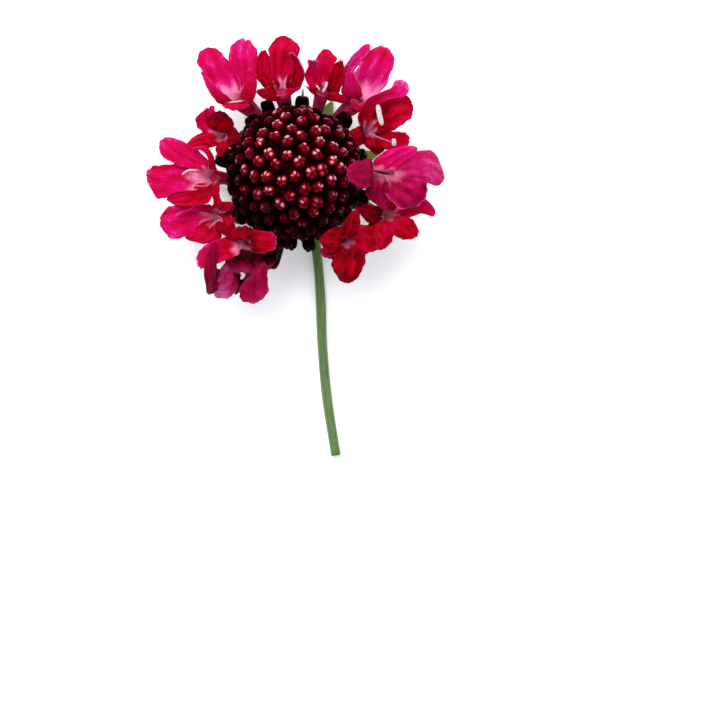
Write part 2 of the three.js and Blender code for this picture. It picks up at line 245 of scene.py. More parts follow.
class Shader:
    """A node material written as calls: each returns the output of a new node."""

    def __init__(self, name):
        self.material = bpy.data.materials.new(name)
        self.material.use_nodes = True
        self.tree = self.material.node_tree
        place = self.add("TexCoord", output="Object")
        self.place = self.add("VectorMath", {0: place, "Scale": 1 / MM}, operation="SCALE")  # millimetres

    def add(self, kind, inputs=(), output=0, **settings):
        """A new node with its inputs, by name or number, and its own settings."""
        node = self.tree.nodes.new(f"ShaderNode{kind}")
        for key, value in settings.items():
            setattr(node, key, value)
        for key, value in dict(inputs).items():
            self.set(node.inputs[key], value)
        return Field(self, node.outputs[output])

    def set(self, target, value):
        if isinstance(value, Field):
            self.tree.links.new(value.socket, target)
        elif target.type == "RGBA":
            target.default_value = (*value, 1)
        else:
            target.default_value = value

    def finish(self, **inputs):
        surface = self.tree.nodes["Principled BSDF"]
        for key, value in inputs.items():
            self.set(surface.inputs[key.replace("_", " ")], value)
        return self.material

    def value(self, name):
        return self.add("Attribute", output=2, attribute_name=name)

    def uv(self):
        """The two UV coordinates as separate fields."""
        uv = self.add("UVMap", uv_map="UVMap")
        return [self.add("SeparateXYZ", {0: uv}, output=axis) for axis in (0, 1)]

    def noise(self, vector, scale, detail=2.0, roughness=0.5, distortion=0.0):
        inputs = dict(Vector=vector, Scale=scale, Detail=detail, Roughness=roughness, Distortion=distortion)
        return self.add("TexNoise", inputs)

    def streaks(self, x, y, z, *noise):
        """Noise along a petal or leaf, from its UV coordinates."""
        return self.noise(self.add("CombineXYZ", {0: x, 1: y, 2: z}), *noise)

    def grain(self, scale, detail=2):
        """Noise through the solid, with this many cells per millimetre."""
        return self.noise(self.place, scale, detail)

    def ramp(self, factor, *stops):
        """A ramp from (position, value or colour) stops."""
        field = self.add("ValToRGB", {0: factor})
        elements = field.socket.node.color_ramp.elements
        while len(elements) < len(stops):
            elements.new(0.5)
        for element, (position, value) in zip(elements, stops):
            element.position = position
            element.color = (*(value if hasattr(value, "__len__") else [value] * 3), 1)
        return field

    def mix(self, factor, a, b):
        return self.add("Mix", {0: factor, 6: a, 7: b}, output=2, data_type="RGBA")

    def bump(self, height, strength, distance):
        return self.add("Bump", dict(Height=height, Strength=strength, Distance=distance * MM))


def scatter(weight, red, green, blue, reach=0.4):
    """How light passes a little way through plant tissue, with its reach in millimetres."""
    return dict(Subsurface_Weight=weight, Subsurface_Radius=(red, green, blue), Subsurface_Scale=reach * MM)


PETAL_GLOSS_TINT = (1.0, 0.12, 0.35)
BUD_GLOSS_TINT = (1.0, 0.15, 0.25)


def petal_material(name, stops, throat_colour):
    """Upper side of a petal. U runs across a lobe, V from the throat (1) to the tip (2).

    The point values tone, pale and rim say how light the lobe is there, with painted shade in its
    creases and painted light and shade on its folds, how much of the throat's pale streaks it has,
    and how strong the painted highlight along its margins and at its tip is.
    """
    shader = Shader(name)
    u, v = shader.uv()
    streaks = shader.streaks(u * 12, v * 1.3, 0, 2.2, 3, 0.6, 0.3)
    vein_field = shader.streaks(u * 5, v * 0.9, 3.7, 2.4, 2, 0.4, 0.7)
    veins = shader.ramp(vein_field, (0.45, 0.0), (0.485, 1.0), (0.52, 0.0))
    # rim adds a painted highlight along the margins and at the tip
    level = shader.value("tone") + shader.value("rim") * 0.30
    for field, share in ((streaks, 0.30), (shader.grain(0.45, 3), 0.44), (shader.grain(2.6), 0.42)):
        level = level + (field - 0.5) * share
    streaky = shader.value("pale") * shader.ramp(streaks, (0.30, 0.50), (0.64, 1.0))
    return shader.finish(
        Base_Color=shader.mix(streaky, shader.ramp(level - veins * 0.11, *stops), throat_colour),
        Roughness=shader.ramp(streaks, (0.3, 0.42), (0.8, 0.58)),
        Normal=shader.bump(streaks * 0.6 + veins * -0.4 + shader.grain(9) * 0.25, 0.6, 0.14),
        Specular_IOR_Level=0.08,
        Specular_Tint=PETAL_GLOSS_TINT,
        **scatter(0.12, 0.8, 0.15, 0.25),
    )


def petal_back_material(name, stops, tube_dark, tube_light):
    """Underside of the petals and the outside of the tube: duller, purplish and finely veined."""
    shader = Shader(name)
    u, v = shader.uv()
    streaks = shader.streaks(u * 10, v * 0.8, 1.3, 2.0, 3, 0.5, 0.3)
    body = shader.ramp(shader.value("tone") * 0.85 + (streaks - 0.5) * 0.3, *stops)
    tube = shader.ramp(v * 0.5, (0.0, 0.9), (0.4, 0.75), (0.5, 0.45), (0.62, 0.0))
    blotches = shader.grain(1.3, 3) * 0.6 + streaks * 0.5
    return shader.finish(
        Base_Color=shader.mix(tube, body, shader.ramp(blotches, (0.4, tube_dark), (0.68, tube_light))),
        Roughness=0.6,
        Normal=shader.bump(streaks + shader.grain(8) * 0.5, 0.5, 0.12),
        Specular_IOR_Level=0.1,
        Specular_Tint=PETAL_GLOSS_TINT,
        **scatter(0.1, 0.8, 0.15, 0.25),
    )


def bud_material(name, dark, body, crown, glint, gloss):
    """Closed buds. The point values crown, groove, depth and tone say where each point lies: crown marks the
    lobes' paler tips with a painted highlight, groove the seams with painted shade, and depth darkens towards
    the dome's edge, partly the buds' own dark sides and partly painted shade.
    """
    shader = Shader(name)
    mottle = shader.grain(2.6, 3)
    lit = (shader.value("crown") + (mottle - 0.5) * 0.5) * shader.value("tone")
    colour = shader.ramp(lit, (0.0, dark), (0.38, body), (0.74, crown), (1.0, glint))
    # Painted shade: the grooves between the lobes darken towards the seam colour.
    seam = tuple(0.3 * b + 0.7 * d for b, d in zip(body, dark))
    colour = shader.mix(shader.value("groove") * 0.9, colour, seam)
    return shader.finish(
        Base_Color=shader.mix(shader.ramp(shader.value("depth"), (0.44, 0.0), (0.78, 0.88)), colour, dark),
        Roughness=shader.ramp(mottle, (0.3, 0.28), (0.8, 0.46)),
        Normal=shader.bump(shader.grain(7), 0.35, 0.1),
        Specular_IOR_Level=gloss,
        Specular_Tint=BUD_GLOSS_TINT,
        **scatter(0.05, 0.8, 0.15, 0.2),
    )


def green_material(name, dark, light, edge, stripe_count=8):
    """Bracts and stem: U runs across, V along; ribs and a paler margin."""
    shader = Shader(name)
    u, v = shader.uv()
    stripes = shader.streaks(u * stripe_count, v * 1.2, 0, 2.0)
    body = shader.mix(shader.ramp(stripes, (0.35, 0.0), (0.7, 1.0)), dark, light)
    body = shader.mix(shader.ramp(shader.grain(0.8, 4), (0.4, 0.0), (0.75, 0.45)), body, dark)
    margin = shader.ramp(shader.value("margin"), (0.55, 0.0), (1.0, 0.85))
    return shader.finish(
        Base_Color=shader.mix(margin, body, edge),
        Roughness=0.55,
        Normal=shader.bump(stripes + shader.grain(6, 3) * 0.4, 0.5, 0.1),
        Sheen_Weight=0.15,
        **scatter(0.08, 0.3, 0.6, 0.1),
    )


def anther_material(name, pale, shade):
    shader = Shader(name)
    return shader.finish(
        Base_Color=shader.ramp(shader.grain(3, 3), (0.3, shade), (0.6, pale)),
        Roughness=0.6,
        Normal=shader.bump(shader.grain(12), 0.5, 0.08),
        **scatter(0.1, 0.8, 0.5, 0.5, reach=0.3),
    )


# The colours of each petal skin, from its darkest folds to its lightest tips, with the pale
# streaks of its throat and the dark and the light of its tube.
PETAL_STOPS = (0.0, 0.25, 0.5, 0.7, 0.85, 1.0)
PETAL_SKINS = {
    "ruby": (
        [(62, 0, 4), (136, 0, 12), (202, 2, 36), (218, 8, 86), (234, 16, 122), (246, 82, 172)],
        (0.95, 0.33, 0.56), seen(146, 4, 44), seen(222, 60, 124),
    ),
    "rose": (
        [(66, 1, 20), (120, 3, 36), (172, 5, 64), (204, 22, 98), (218, 44, 124), (230, 98, 166)],
        (0.78, 0.30, 0.46), seen(118, 4, 40), seen(206, 60, 120),
    ),
    "dusky": (
        [(34, 0, 6), (104, 2, 24), (158, 6, 54), (184, 20, 86), (200, 56, 122), (214, 112, 164)],
        seen(190, 74, 142), seen(70, 0, 20), seen(150, 30, 70),
    ),
}
petal_materials = []
petal_slots = {}
for skin, (colours, throat_colour, tube_dark, tube_light) in PETAL_SKINS.items():
    stops = [(position, seen(*colour)) for position, colour in zip(PETAL_STOPS, colours)]
    petal_slots[skin] = len(petal_materials)
    petal_materials.append(petal_material(f"petal_{skin}", stops, throat_colour))
    petal_materials.append(petal_back_material(f"petal_back_{skin}", stops, tube_dark, tube_light))
# Dark, body, crown and glint of the closed buds: glint is a painted highlight, and the crowns are partly the
# lobes' own paler tips and partly painted highlight.
BUD_COLOURS = (seen(10, 0, 2), seen(122, 2, 16), seen(206, 38, 70), seen(250, 180, 188))
bud_skin = bud_material("closed_bud", *BUD_COLOURS, gloss=0.08)
# The same colours with less gloss for the buds on the dome's flanks, so they show no grey reflection: painted
# shade.
shaded_bud_skin = bud_material("closed_bud_shaded_matt", *BUD_COLOURS, gloss=0.01)
rim_skin = bud_material(
    "rim_bud", seen(5, 0, 1), seen(16, 1, 4), seen(40, 3, 11), seen(84, 10, 26), gloss=0.02
)
opening_skin = bud_material(
    "opening_bud", seen(8, 0, 2), seen(84, 0, 10), seen(132, 4, 24), seen(180, 30, 60), gloss=0.03
)
bract_skin = green_material("bract", seen(46, 86, 14), seen(124, 164, 42), seen(186, 232, 70))
stem_skin = green_material("stem", seen(66, 104, 38), seen(118, 154, 66), seen(134, 168, 84), stripe_count=24)

# ---------- ray florets ----------
PETAL_THICKNESS = 0.2
TUBE_FOOT_RADIUS = 4.58
TUBE_FOOT_HEIGHT = 1.8
TUBE_FOOT_THICKNESS = 0.6
TUBE_FLAT_REACH = 11
TUBE_ROWS = 18
THROAT_DEPTH = 3  # rows of the tube between its mouth and the pale pad of hairs that closes it
MOUTH_FLARE = 1.25
TUBE_TONE = 0.35
PAD_TONE = 0.66
LOBE_COLUMNS = 18
LOBE_ROWS = 34
BASE_OVERLAP = 0.6  # how far neighbouring lobes reach over each other near the throat
FOLD_SHADE = 0.85  # painted light and shade on the folds: how much lighter a petal is painted per millimetre of a fold's height


@dataclass
class Lobe:
    """A petal lobe in rows from the throat to the tip. A row is the left edge, the right edge (x, y
    and z from the floret's throat) and how far the middle bulges, in tenths of a millimetre."""

    tone: tuple  # per cent from dark to light, at the throat and at the tip
    pale: tuple  # per cent of strength and of reach of the throat's pale streaks
    tip: int  # hundredths of a millimetre that the end is rounded by
    rows: list
    rim: float = 0.15  # how strong the painted highlight along the margin and at the tip is
    notch: float = 0.12  # depth of the notch at the tip
    teeth: float = 1  # size of the teeth at the tip
    dip: float = 0  # how much darker a band across the lobe is
    lean: float = 0  # 1 keeps the pale streaks off the lobe's right half
    skin: str = ""  # where it isn't the floret's


@dataclass
class Floret:
    """A ray floret: a tube that opens into lobes."""

    throat: tuple  # its middle, in tenths of a millimetre
    mouth: tuple  # half its length outward and sideways, in millimetres
    skin: str
    lobes: list
    hole: float = 0.35  # how dark the mouth is in its middle, painted shade down the open throat; where it isn't 0 the pad also sits deeper in the tube
    turn: float = 0  # degrees that the foot of its tube lies anticlockwise of the throat


RAY_FLORETS = [
    # right
    Floret((163, -5, 103), (1.75, 0.32), "rose", hole=1, lobes=[
        Lobe((69, 83), (42, 28), 35, [
            (14,4,3, 14,-5,3, 0), (31,19,6, 34,-13,4, -3), (56,33,9, 60,-14,5, 2), (79,41,5, 86,-22,1, 5),
            (97,34,-3, 101,-23,-7, 4), (105,17,-11, 111,-13,-13, 1)]),
        Lobe((70, 84), (40, 14), 30, [
            (-15,8,5, 14,2,4, 0), (-12,21,11, 27,13,6, 2), (7,36,16, 44,21,9, 3), (32,46,16, 58,31,11, 3),
            (49,47,13, 61,39,11, 1)], skin="ruby"),
        Lobe((52, 50), (34, 26), 60, [
            (14,-6,1, -2,-10,1, 0), (34,-14,1, 5,-32,-1, 3), (60,-14,3, 14,-51,-1, 7),
            (79,-16,0, 31,-65,-7, 6), (80,-30,-5, 49,-63,-11, 3)], rim=1.6),
        Lobe((42, 36), (20, 20), 50, [
            (0,-10,1, -17,-8,1, 0), (5,-29,1, -26,-27,-1, 5), (11,-44,-5, -32,-40,-9, 5),
            (9,-60,-13, -11,-57,-15, 2)], rim=0.4),
        Lobe((42, 48), (10, 10), 60, [
            (-17,-9,5, -19,6,5, 0), (-28,-30,23, -26,16,23, 4), (-46,-35,37, -46,13,39, 5),
            (-59,-27,43, -61,4,45, 2)])]),
    # upper right
    Floret((133, 79, 74), (1.2, 0.7), "ruby", hole=1, lobes=[
        Lobe((38, 97), (30, 8), 60, [
            (-7,6,4, 4,8,4, -2), (-11,26,22, 17,33,12, -8), (2,50,32, 24,47,24, -6),
            (22,63,36, 45,56,29, -3), (43,74,35, 69,59,29, 0), (52,88,31, 78,71,26, 1)], rim=0.5),
        Lobe((35, 46), (50, 14), 55, [
            (6,5,2, 11,-1,2, 0), (21,35,12, 26,0,8, -4), (35,57,18, 47,2,12, -6), (56,70,19, 67,12,13, -3),
            (76,64,15, 80,22,9, 0)]),
        Lobe((44, 52), (60, 16), 75, [
            (11,-4,0, 8,-12,0, 0), (30,-2,6, 24,-27,2, -4), (52,-2,8, 47,-34,4, -4),
            (71,-3,6, 65,-33,2, 0)]),
        Lobe((36, 26), (0, 10), 20, [
            (8,-14,0, -3,-12,0, 0), (23,-28,6, -2,-24,2, 3), (32,-35,2, 4,-32,-2, 3),
            (26,-39,-4, 11,-38,-6, 0)]),
        Lobe((22, 30), (0, 10), 40, [
            (-3,-13,4, -5,0,4, 0), (-16,-27,14, -15,3,16, 4), (-27,-26,18, -27,-1,20, 3),
            (-33,-18,18, -33,-5,18, 0)])]),
    # top right
    Floret((116, 140, 64), (1, 1.5), "ruby", hole=0, turn=26, lobes=[
        Lobe((99, 62), (90, 42), 50, [
            (-3,3,5, 12,-5,4, -2), (0,21,15, 27,6,16, -6), (-5,42,24, 47,24,24, -7),
            (2,59,31, 62,48,27, -1), (15,81,33, 69,69,27, 4), (28,93,28, 63,88,24, 3)], rim=1.2, dip=0.08),
        Lobe((84, 90), (0, 10), 40, [
            (-11,6,6, -3,4,6, 0), (-20,27,20, -7,28,16, 0), (-25,47,32, -11,47,26, -3),
            (-14,69,40, 7,66,32, -4), (-1,84,42, 19,79,36, -1), (10,95,40, 24,91,38, 0)], rim=0.5),
        Lobe((68, 80), (0, 10), 20, [
            (-14,1,4, 1,3,4, 0), (-24,9,18, 3,14,12, 4), (-27,21,30, -1,27,22, 7),
            (-26,32,38, -5,36,32, 6), (-23,39,43, -8,41,39, 2)]),
        Lobe((60, 55), (80, 35), 25, [
            (11,-6,2, -7,-3,2, 0), (12,-11,7, -9,-10,7, 1), (6,-15,9, -7,-15,9, 1)], rim=0.4),
        Lobe((42, 46), (0, 10), 40, [
            (-7,-6,1, -13,1,4, 0), (-16,-7,5, -21,4,9, 2), (-26,-5,4, -29,4,8, 1)], skin="rose")]),
    # top
    Floret((49, 153, 80), (0.9, 1), "ruby", hole=0, lobes=[
        Lobe((60, 58), (35, 16), 85, [
            (-7,6,5, 12,6,5, -2), (-8,19,14, 14,22,12, -6), (-8,36,22, 18,38,20, -5),
            (-10,54,25, 29,55,23, -1), (-5,66,22, 23,65,20, 2)]),
        Lobe((60, 74), (0, 10), -35, [
            (-14,1,4, -5,5,4, 0), (-20,10,14, -7,18,12, -3), (-28,27,22, -7,33,18, -5),
            (-25,42,29, -6,45,25, -3), (-26,52,35, -6,51,33, 0)], rim=0.8),
        Lobe((30, 42), (0, 10), 30, [
            (12,1,4, 23,-5,6, 0), (16,16,12, 32,5,19, -4), (18,31,18, 40,21,27, -6),
            (23,46,22, 42,36,28, -3), (29,50,24, 40,45,28, 0)], rim=0.4),
        Lobe((48, 50), (0, 10), 30, [
            (10,-4,2, 2,-6,-2, 0), (21,-4,8, 16,-12,0, 3), (32,-5,8, 28,-18,0, 3),
            (42,-9,4, 38,-21,-2, 0)]),
        Lobe((26, 22), (0, 10), -30, [
            (1,-8,1, -9,3,4, 0), (-10,-6,5, -18,5,8, 0), (-18,-4,7, -25,7,9, 0), (-21,0,6, -30,9,8, 0)])]),
    # top left
    Floret((-26, 153, 78), (0.8, 1.25), "ruby", hole=0, turn=-6, lobes=[
        Lobe((56, 52), (80, 20), 65, [
            (-8,9,4, 11,11,4, -4), (-11,24,14, 16,28,12, -8), (-17,44,22, 22,49,18, -7),
            (-22,67,22, 33,67,22, -3), (-21,83,18, 34,82,18, 0), (-12,96,14, 22,94,14, 1)]),
        Lobe((44, 49), (30, 10), 85, [
            (-21,3,4, -8,7,4, 0), (-33,14,16, -10,18,12, -4), (-44,25,24, -15,34,16, -6),
            (-47,42,28, -19,52,20, -5), (-43,59,28, -23,62,24, 0)]),
        Lobe((28, 62), (0, 10), 20, [
            (11,7,4, 22,1,6, 0), (16,24,12, 32,9,19, -8), (18,42,16, 42,25,31, -11),
            (18,57,24, 38,40,37, -7), (16,64,34, 30,55,39, 0)], rim=1),
        Lobe((36, 40), (0, 10), 20, [
            (-4,-7,2, -10,2,4, 0), (-17,-14,6, -21,2,10, 3), (-32,-13,8, -34,4,12, 3),
            (-39,-8,8, -41,2,10, 0)]),
        Lobe((56, 66), (20, 20), 20, [
            (5,0,2, 3,-6,0, 0), (16,2,10, 14,-5,4, 1), (26,4,14, 24,-2,8, 1),
            (33,7,16, 31,1,11, 0)], rim=0.5)]),
    # upper left
    Floret((-105, 139, 70), (0.9, 1.5), "ruby", hole=0, turn=-27, lobes=[
        Lobe((100, 64), (80, 28), 85, [
            (-22,4,7, -2,8,5, -3), (-42,20,17, 0,31,12, -8), (-58,39,23, -9,50,17, -9),
            (-77,65,21, -18,70,17, -5), (-74,88,13, -34,91,13, 0)], dip=0.1),
        Lobe((62, 84), (0, 10), 30, [
            (-30,-9,10, -22,-2,12, 0), (-45,4,26, -36,10,19, 2), (-57,19,32, -47,22,23, 3),
            (-64,32,34, -56,33,26, 2), (-67,44,32, -62,42,28, 0)], rim=1),
        Lobe((71, 83), (80, 16), 60, [
            (-2,8,5, 11,5,7, -2), (0,31,12, 19,28,16, -5), (-9,54,18, 29,51,22, -8),
            (-17,80,21, 35,75,23, -6), (-15,100,17, 32,94,19, -2),
            (-6,111,12, 24,108,14, 0)], notch=0.55, dip=0.03),
        Lobe((54, 70), (0, 10), 30, [
            (11,-2,8, 19,-9,10, 0), (10,12,18, 26,5,24, 5), (14,25,26, 33,24,30, 6),
            (18,39,32, 32,39,32, 4), (19,45,36, 27,46,34, 0)], rim=0.8),
        Lobe((66, 56), (100, 38), 70, [
            (13,-3,2, -19,-3,2, 0), (19,-10,10, -29,-10,11, 2), (18,-17,16, -25,-19,18, 2)], rim=0.3)]),
    # left upper
    Floret((-134, 68, 86), (0.65, 0.65), "ruby", lobes=[
        Lobe((66, 60), (40, 22), 15, [
            (-16,3,4, 1,9,4, 0), (-30,8,12, -8,21,13, -5), (-44,14,18, -9,31,18, -7),
            (-49,27,22, -12,40,24, -3), (-36,38,26, -15,49,27, 0)], rim=0.3, notch=0.5),
        Lobe((34, 12), (30, 10), 30, [
            (-8,7,4, 10,1,4, 0), (-20,14,17, 18,10,13, 5), (-23,25,23, 19,24,19, 7),
            (-15,36,24, 11,33,22, 4)]),
        Lobe((46, 60), (20, 10), 70, [
            (-8,-6,2, -14,3,2, 0), (-21,-20,6, -29,5,6, 4), (-38,-22,6, -45,1,6, 4),
            (-53,-23,2, -57,-5,2, 1)]),
        Lobe((42, 46), (30, 15), 60, [
            (5,-6,2, -8,-8,2, 0), (14,-17,6, -8,-20,4, 3), (9,-27,4, -12,-28,2, 2),
            (2,-34,0, -8,-32,-2, 0)]),
        Lobe((28, 18), (40, 12), 20, [
            (8,6,6, 7,-7,4, 0), (22,8,16, 16,-14,12, 3), (33,-1,20, 28,-18,16, 3),
            (39,-9,20, 35,-18,18, 0)])]),
    # left
    Floret((-155, -10, 92), (1.5, 1.1), "ruby", turn=-6, lobes=[
        Lobe((69, 79), (40, 12), 60, [
            (-14,9,6, -3,15,6, 0), (-37,17,9, -12,30,12, -4), (-63,22,9, -32,50,12, -6),
            (-88,36,6, -57,68,7, -1), (-94,52,2, -77,73,2, 1)]),
        Lobe((72, 78), (75, 26), 30, [
            (-14,-14,3, -14,10,4, -2), (-37,-23,6, -42,19,5, -6), (-61,-28,4, -66,21,3, -5),
            (-84,-38,-1, -88,21,-2, 0), (-99,-40,-6, -107,21,-6, 2),
            (-113,-16,-9, -117,13,-9, 1)], notch=0.3, teeth=2.2, dip=0.12),
        Lobe((44, 62), (0, 10), 30, [
            (3,-19,0, -12,-13,2, 0), (-7,-47,7, -32,-24,2, 1), (-37,-55,5, -54,-29,0, 0),
            (-60,-55,-1, -75,-35,-2, 0), (-73,-47,-6, -79,-40,-6, 0)], rim=0.6),
        Lobe((46, 66), (0, 10), 40, [
            (1,11,6, 7,12,6, 0), (0,25,17, 5,26,14, 2), (-6,37,23, 1,40,20, 3), (-17,43,26, -6,50,24, 2),
            (-29,46,22, -20,52,22, 0)], rim=0.4),
        Lobe((44, 38), (10, 10), 50, [
            (12,-12,2, 3,-16,2, 0), (13,-24,5, 5,-28,5, 1), (17,-37,3, 5,-41,3, 0),
            (21,-48,0, 6,-52,0, 0)])]),
    # left lower
    Floret((-146, -77, 64), (0.9, 0.8), "ruby", lobes=[
        Lobe((75, 75), (32, 15), 62, [
            (-19,-17,5, -15,9,5, -2), (-36,-34,13, -40,11,15, -6), (-58,-43,17, -64,12,19, -4),
            (-78,-47,15, -83,16,15, 0), (-94,-35,9, -95,7,10, 2)], dip=0.08),
        Lobe((66, 80), (0, 10), 30, [
            (-15,10,6, -8,16,6, 0), (-33,7,20, -32,12,23, 1), (-51,1,25, -49,6,28, 1),
            (-67,-6,27, -66,-1,29, 0)], rim=1),
        Lobe((48, 70), (10, 10), 30, [
            (4,-21,4, -15,-13,4, 0), (4,-45,11, -36,-30,11, 3), (-19,-55,9, -49,-37,9, 3),
            (-40,-50,5, -55,-41,5, 1)], rim=0.3),
        Lobe((44, 50), (0, 10), 50, [
            (17,-3,6, 2,-16,6, 0), (33,-14,17, 6,-32,12, 4), (36,-28,13, 13,-38,8, 2)]),
        Lobe((50, 42), (30, 15), 30, [
            (-6,11,6, 9,5,6, 0), (5,21,10, 26,12,10, 2), (17,23,10, 31,16,10, 0)])]),
    # lower left
    Floret((-90, -138, 94), (0.8, 1.1), "ruby", lobes=[
        Lobe((16, 76), (20, 10), 0, [
            (9,4,6, 9,-9,6, 0), (17,19,18, 22,-12,12, 4), (35,20,20, 39,-15,12, 5),
            (48,20,16, 49,-13,10, 3), (55,16,12, 54,-9,7, 1)], rim=0.9),
        Lobe((34, 24), (10, 10), 20, [
            (-13,6,6, 7,8,6, 0), (-29,10,15, 12,15,16, 2), (-34,18,18, 14,24,20, 2),
            (-25,24,19, 10,28,20, 0)]),
        Lobe((50, 74), (55, 26), 30, [
            (-8,-10,4, -9,6,8, -2), (-26,-21,5, -31,8,13, -3), (-45,-29,-2, -52,6,5, -2),
            (-67,-39,-14, -73,1,-8, 0), (-83,-40,-23, -86,-8,-18, 1)], rim=0.7, lean=1),
        # A dark lobe low under the others: painted shade.
        Lobe((0, -30), (0, 10), 20, [
            (7,-10,2, -8,-11,2, 0), (12,-14,-4, -12,-16,-5, 2), (8,-19,-12, -10,-20,-13, 0)])]),
    # lowest
    Floret((-100, -185, 32), (0.9, 1.1), "dusky", lobes=[
        # The hood darkens to black towards its tip: painted shadow under the lobes of the lower left floret.
        Lobe((82, -12), (100, 50), 30, [
            (-14,2,10, 20,4,10, 2), (-24,11,24, 37,9,22, 8), (-26,24,32, 45,23,30, 10),
            (-11,38,36, 37,38,35, 6)]),
        Lobe((40, 60), (10, 40), 25, [
            (22,7,12, 3,-15,6, 0), (43,16,37, -2,-30,10, 5), (49,-3,24, 1,-45,5, 7),
            (50,-26,7, 16,-51,-2, 4)], rim=0.2, skin="rose"),
        Lobe((66, 98), (10, 60), 20, [
            (-7,-13,6, -14,3,11, 0), (-15,-31,11, -26,13,38, 4), (-23,-42,7, -44,-2,22, 5),
            (-42,-43,-1, -57,-17,8, 2)], rim=0.4),
        Lobe((42, 36), (0, 20), 20, [
            (-25,-8,11, -21,5,14, 0), (-56,-34,22, -45,2,30, 2), (-61,-22,50, -44,7,56, 4),
            (-64,4,64, -42,24,67, 5), (-61,29,70, -41,37,72, 4), (-52,43,72, -43,47,72, 0)], rim=0.2),
        # A dark sheet low under the other lobes: painted shade in the slit between them.
        Lobe((-10, -10), (0, 10), 20, [
            (1,-12,2, -9,-10,2, 0), (-2,-20,-5, -18,-19,-5, 1), (-4,-29,-8, -20,-27,-8, 0)])]),
    # lower right
    Floret((94, -130, 82), (0.8, 0.8), "ruby", lobes=[
        Lobe((24, 30), (30, 12), 25, [
            (-10,-11,6, -5,10,6, 0), (-23,-21,16, -7,20,20, 5), (-37,-19,18, -25,21,22, 5),
            (-45,-7,14, -40,11,17, 1)], rim=0.3),
        Lobe((46, 50), (10, 20), 30, [
            (-3,-16,3, -14,-5,5, 0), (-14,-31,6, -32,-11,8, 2), (-29,-33,2, -47,-14,4, 0)], skin="dusky"),
        Lobe((30, 26), (30, 12), 80, [
            (13,-7,4, -10,-12,4, 0), (30,-23,10, -21,-28,6, 5), (34,-44,6, -24,-46,2, 7),
            (24,-64,-2, -16,-65,-4, 4)]),
        Lobe((34, 44), (20, 14), 50, [
            (8,10,6, 10,-11,6, 0), (26,24,16, 34,-21,12, 4), (45,25,14, 52,-19,8, 4),
            (58,19,7, 61,-11,4, 1)]),
        Lobe((24, 28), (20, 10), 35, [
            (-7,6,6, 12,2,6, 0), (-7,19,16, 26,14,14, 3), (-1,36,20, 27,31,19, 3),
            (10,50,21, 25,47,20, 1)])]),
    # right lower
    Floret((169, -75, 60), (1, 0.8), "ruby", lobes=[
        Lobe((56, 64), (40, 16), 10, [
            (9,12,6, 9,-7,5, 0), (29,16,11, 31,-7,9, -3), (49,21,13, 49,-1,11, -3), (66,29,11, 64,1,7, 0),
            (81,21,5, 75,-1,4, 1), (90,9,2, 84,-3,1, 1)]),
        Lobe((40, 40), (10, 10), 50, [
            (-8,7,8, 5,5,8, 0), (-4,19,14, 18,16,12, 1), (5,30,16, 29,27,14, 0)]),
        Lobe((48, 44), (30, 16), 50, [
            (11,-3,4, -4,-13,4, 0), (35,-6,8, 5,-31,4, 3), (51,-15,6, 24,-44,2, 4),
            (59,-27,2, 38,-46,-1, 1)]),
        Lobe((42, 48), (10, 10), 60, [
            (3,-10,2, -15,-7,3, 0), (12,-28,6, -30,-22,4, 3), (11,-48,2, -28,-40,0, 4),
            (1,-59,-2, -23,-53,-3, 1)]),
        Lobe((16, 26), (0, 10), 20, [
            (-12,-9,6, -10,6,6, 0), (-28,-16,14, -23,9,17, 3), (-41,-12,20, -39,14,23, 3),
            (-49,-1,22, -49,9,23, 0)], rim=0.5)]),
]


